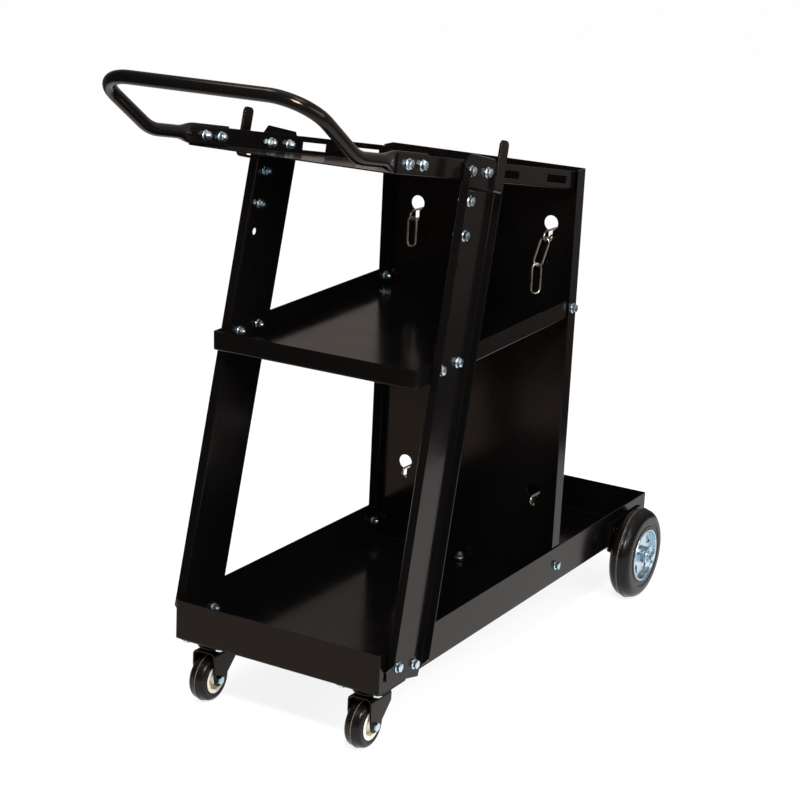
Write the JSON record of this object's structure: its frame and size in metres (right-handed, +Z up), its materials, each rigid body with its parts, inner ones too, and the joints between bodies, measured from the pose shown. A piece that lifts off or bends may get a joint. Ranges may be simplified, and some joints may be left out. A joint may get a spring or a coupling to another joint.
{
  "type": "welding cart",
  "caption": "Welding cart of folded black sheet steel with stacked decks, leaning uprights, sloping top tray, push handle, cable hooks, swivel casters, rear wheels and bottle chains.",
  "frame": {"origin": "on the ground under the middle of the cart's bounding box", "axes": "+X to the cart's right, +Y from the push handle towards the bottle bay and rear wheels, +Z up"},
  "size_m": [0.4044, 0.9618, 0.8188],
  "materials": {
    "black_powder_coat": "gloss powder coat",
    "bright_zinc": "bright zinc plate",
    "dull_nickel": "dull nickel plate",
    "black_rubber": "matte moulded rubber",
    "cream_plastic": "moulded plastic"
  },
  "bodies": {
    "frame": {"left_caster_plate": "black_powder_coat", "right_caster_plate": "black_powder_coat", "bottom_tray": "black_powder_coat", "back_panel": "black_powder_coat", "mid_shelf": "black_powder_coat", "top_tray": "black_powder_coat", "right_upright": "black_powder_coat", "left_upright": "black_powder_coat", "right_cable_hook": "black_powder_coat", "left_cable_hook": "black_powder_coat", "push_handle": "black_powder_coat", "right_axle_bracket": "black_powder_coat", "left_axle_bracket": "black_powder_coat", "right_foot_bolt_front": "bright_zinc", "left_foot_bolt_front": "bright_zinc", "right_foot_bolt_rear": "bright_zinc", "left_foot_bolt_rear": "bright_zinc", "right_shelf_bolt_front": "bright_zinc", "left_shelf_bolt_front": "bright_zinc", "right_shelf_bolt_rear": "bright_zinc", "left_shelf_bolt_rear": "bright_zinc", "right_top_bolt_front": "bright_zinc", "left_top_bolt_front": "bright_zinc", "right_top_bolt_rear": "bright_zinc", "left_top_bolt_rear": "bright_zinc", "right_handle_bolt_front": "bright_zinc", "left_handle_bolt_front": "bright_zinc", "right_handle_bolt_rear": "bright_zinc", "left_handle_bolt_rear": "bright_zinc", "right_hook_bolt_upper": "bright_zinc", "left_hook_bolt_upper": "bright_zinc", "right_hook_bolt_lower": "bright_zinc", "left_hook_bolt_lower": "bright_zinc", "right_panel_shelf_bolt": "bright_zinc", "left_panel_shelf_bolt": "bright_zinc", "right_panel_tray_bolt": "bright_zinc", "left_panel_tray_bolt": "bright_zinc", "panel_floor_bolt": "bright_zinc", "rear_axle": "bright_zinc", "left_axle_washer": "bright_zinc", "right_axle_washer": "bright_zinc", "left_split_pin": "bright_zinc", "right_split_pin": "bright_zinc", "upper_chain": "dull_nickel", "lower_chain": "dull_nickel"},
    "left_caster_fork": {"left_caster_fork": "black_powder_coat", "left_caster_axle_bolt": "bright_zinc"},
    "left_caster_wheel": {"left_caster_tyre": "black_rubber", "left_caster_hub": "cream_plastic"},
    "left_rear_wheel": {"left_rear_tyre": "black_rubber", "left_rear_hub": "bright_zinc"},
    "left_chain_end": {"left_chain_end": "dull_nickel"},
    "right_caster_fork": {"right_caster_fork": "black_powder_coat", "right_caster_axle_bolt": "bright_zinc"},
    "right_caster_wheel": {"right_caster_tyre": "black_rubber", "right_caster_hub": "cream_plastic"},
    "right_rear_wheel": {"right_rear_tyre": "black_rubber", "right_rear_hub": "bright_zinc"},
    "right_chain_end": {"right_chain_end": "dull_nickel"}
  },
  "joints": [
    {"name": "left_caster_swivel", "type": "hinge", "parent": "frame", "child": "left_caster_fork", "pos_m": [-0.116, -0.25308, 0.0695], "axis": [0, 0, 1], "continuous": true},
    {"name": "left_caster_spin", "type": "hinge", "parent": "left_caster_fork", "child": "left_caster_wheel", "pos_m": [-0.116, -0.26558, 0.031], "axis": [1, 0, 0], "continuous": true},
    {"name": "left_rear_wheel_spin", "type": "hinge", "parent": "frame", "child": "left_rear_wheel", "pos_m": [-0.1726, 0.40492, 0.0675], "axis": [1, 0, 0], "continuous": true},
    {"name": "left_chain_swing", "type": "hinge", "parent": "frame", "child": "left_chain_end", "pos_m": [-0.103, 0.17781, 0.56363], "axis": [1, 0, 0], "range_deg": [-60, 12]},
    {"name": "right_caster_swivel", "type": "hinge", "parent": "frame", "child": "right_caster_fork", "pos_m": [0.116, -0.25308, 0.0695], "axis": [0, 0, 1], "continuous": true},
    {"name": "right_caster_spin", "type": "hinge", "parent": "right_caster_fork", "child": "right_caster_wheel", "pos_m": [0.116, -0.26558, 0.031], "axis": [1, 0, 0], "continuous": true},
    {"name": "right_rear_wheel_spin", "type": "hinge", "parent": "frame", "child": "right_rear_wheel", "pos_m": [0.1726, 0.40492, 0.0675], "axis": [1, 0, 0], "continuous": true},
    {"name": "right_chain_swing", "type": "hinge", "parent": "frame", "child": "right_chain_end", "pos_m": [0.103, 0.17781, 0.56363], "axis": [1, 0, 0], "range_deg": [-60, 3]}
  ]
}
